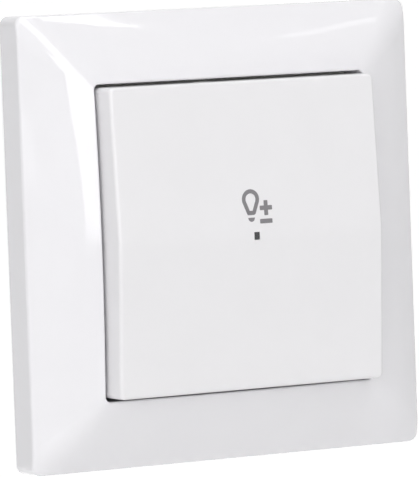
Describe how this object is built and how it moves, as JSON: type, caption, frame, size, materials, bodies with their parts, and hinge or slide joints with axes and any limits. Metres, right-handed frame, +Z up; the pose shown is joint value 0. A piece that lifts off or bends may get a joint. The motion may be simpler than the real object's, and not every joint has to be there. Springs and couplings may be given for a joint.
{
  "type": "flush dimmer insert with cover frame",
  "caption": "Square wall dimmer with a crowned cover frame, a tilting rocker key, a round flush insert, claws and lift terminals.",
  "frame": {"origin": "middle of the box screws' pattern, on the wall plane and the strap's back face", "axes": "+Z up the wall, -Y towards the viewer, +Y into the wall box, +X to the right as seen from the front"},
  "size_m": [0.081, 0.0448, 0.081],
  "materials": {
    "frame_plastic": "polished thermoplastic, glossy white",
    "key_plastic": "moulded thermoplastic, satin white",
    "window_plastic": "smoky clear light guide",
    "carrier_plastic": "natural glass-filled nylon",
    "plunger_plastic": "acetal",
    "spring_steel": "drawn spring wire",
    "strap_steel": "zinc-plated sheet",
    "ring_plastic": "white acetal",
    "housing_plastic": "dark grey flame-retardant moulding",
    "front_plastic": "light grey moulding",
    "screw_steel": "zinc-plated screw",
    "claw_steel": "zinc-plated spring steel",
    "terminal_brass": "plain brass",
    "board_laminate": "green solder mask",
    "switch_black": "black moulding",
    "lamp_lens": "tinted epoxy",
    "chip_epoxy": "black epoxy",
    "sink_aluminium": "extruded",
    "ferrite": "coated ferrite",
    "copper_wire": "enamelled copper",
    "film_box": "yellow potted box",
    "can_sleeve": "dark blue sleeve",
    "fuse_cap": "black cap",
    "varistor_lacquer": "blue lacquer"
  },
  "bodies": {
    "insert": {"cover_frame": "frame_plastic", "upper_plunger_spring": "spring_steel", "lower_plunger_spring": "spring_steel", "mounting_strap": "strap_steel", "retainer_ring": "ring_plastic", "front_housing": "front_plastic", "rear_housing": "housing_plastic", "housing_screws": "screw_steel", "control_board": "board_laminate", "upper_tact_switch": "switch_black", "lower_tact_switch": "switch_black", "indicator_led": "lamp_lens", "microcontroller": "chip_epoxy", "power_board": "board_laminate", "board_connector": "switch_black", "heat_sink": "sink_aluminium", "left_transistor": "chip_epoxy", "right_transistor": "chip_epoxy", "choke_core": "ferrite", "choke_winding": "copper_wire", "film_capacitor": "film_box", "electrolytic_capacitor": "can_sleeve", "fuse": "fuse_cap", "varistor": "varistor_lacquer", "left_terminal_bar": "terminal_brass", "middle_terminal_bar": "terminal_brass", "right_terminal_bar": "terminal_brass"},
    "rocker": {"rocker_key": "key_plastic", "key_light_guide": "window_plastic", "rocker_carrier": "carrier_plastic"},
    "upper_plunger_body": {"upper_plunger": "plunger_plastic"},
    "lower_plunger_body": {"lower_plunger": "plunger_plastic"},
    "left_claw_body": {"left_claw": "claw_steel"},
    "right_claw_body": {"right_claw": "claw_steel"},
    "left_claw_screw_body": {"left_claw_screw": "screw_steel"},
    "right_claw_screw_body": {"right_claw_screw": "screw_steel"},
    "left_cage_body": {"left_terminal_cage": "terminal_brass"},
    "left_screw_body": {"left_terminal_screw": "screw_steel"},
    "middle_cage_body": {"middle_terminal_cage": "terminal_brass"},
    "middle_screw_body": {"middle_terminal_screw": "screw_steel"},
    "right_cage_body": {"right_terminal_cage": "terminal_brass"},
    "right_screw_body": {"right_terminal_screw": "screw_steel"}
  },
  "joints": [
    {"name": "key_rock", "type": "hinge", "parent": "insert", "child": "rocker", "pos_m": [0, -0.0056, 0], "axis": [1, 0, 0], "range_deg": [-2.5, 2.5], "stiffness_Nm_per_rad": 1.8},
    {"name": "upper_plunger_slide", "type": "slide", "parent": "insert", "child": "upper_plunger_body", "axis": [0, 1, 0], "range_m": [-0.0006, 0.0006], "deforming": ["upper_plunger_spring"]},
    {"name": "lower_plunger_slide", "type": "slide", "parent": "insert", "child": "lower_plunger_body", "axis": [0, 1, 0], "range_m": [-0.0006, 0.0006], "deforming": ["lower_plunger_spring"]},
    {"name": "left_claw_screw_turn", "type": "hinge", "parent": "insert", "child": "left_claw_screw_body", "pos_m": [-0.0243, 0, 0], "axis": [0, 1, 0], "range_deg": [0, 864]},
    {"name": "left_claw_swing", "type": "hinge", "parent": "insert", "child": "left_claw_body", "pos_m": [-0.0222, 0.006, 0], "axis": [0, 0, 1], "range_deg": [0, 30]},
    {"name": "right_claw_screw_turn", "type": "hinge", "parent": "insert", "child": "right_claw_screw_body", "pos_m": [0.0243, 0, 0], "axis": [0, 1, 0], "range_deg": [0, 864]},
    {"name": "right_claw_swing", "type": "hinge", "parent": "insert", "child": "right_claw_body", "pos_m": [0.0222, 0.006, 0], "axis": [0, 0, -1], "range_deg": [0, 30]},
    {"name": "left_terminal_screw_turn", "type": "hinge", "parent": "insert", "child": "left_screw_body", "pos_m": [-0.011, 0.0206, -0.0182], "axis": [0, 0, 1], "range_deg": [0, 2160]},
    {"name": "left_cage_slide", "type": "slide", "parent": "insert", "child": "left_cage_body", "axis": [0, 0, -1], "range_m": [0, 0.003]},
    {"name": "middle_terminal_screw_turn", "type": "hinge", "parent": "insert", "child": "middle_screw_body", "pos_m": [0, 0.0206, -0.0182], "axis": [0, 0, 1], "range_deg": [0, 2160]},
    {"name": "middle_cage_slide", "type": "slide", "parent": "insert", "child": "middle_cage_body", "axis": [0, 0, -1], "range_m": [0, 0.003]},
    {"name": "right_terminal_screw_turn", "type": "hinge", "parent": "insert", "child": "right_screw_body", "pos_m": [0.011, 0.0206, -0.0182], "axis": [0, 0, 1], "range_deg": [0, 2160]},
    {"name": "right_cage_slide", "type": "slide", "parent": "insert", "child": "right_cage_body", "axis": [0, 0, -1], "range_m": [0, 0.003]}
  ],
  "couplings": [
    {"joint": "upper_plunger_slide", "follows": "key_rock", "m_per_rad": -0.0135},
    {"joint": "lower_plunger_slide", "follows": "key_rock", "m_per_rad": 0.0135},
    {"joint": "left_claw_swing", "follows": "left_claw_screw_turn", "ratio": 0.0347},
    {"joint": "right_claw_swing", "follows": "right_claw_screw_turn", "ratio": 0.0347},
    {"joint": "left_terminal_screw_turn", "follows": "left_cage_slide", "rad_per_m": 12566},
    {"joint": "middle_terminal_screw_turn", "follows": "middle_cage_slide", "rad_per_m": 12566},
    {"joint": "right_terminal_screw_turn", "follows": "right_cage_slide", "rad_per_m": 12566}
  ]
}
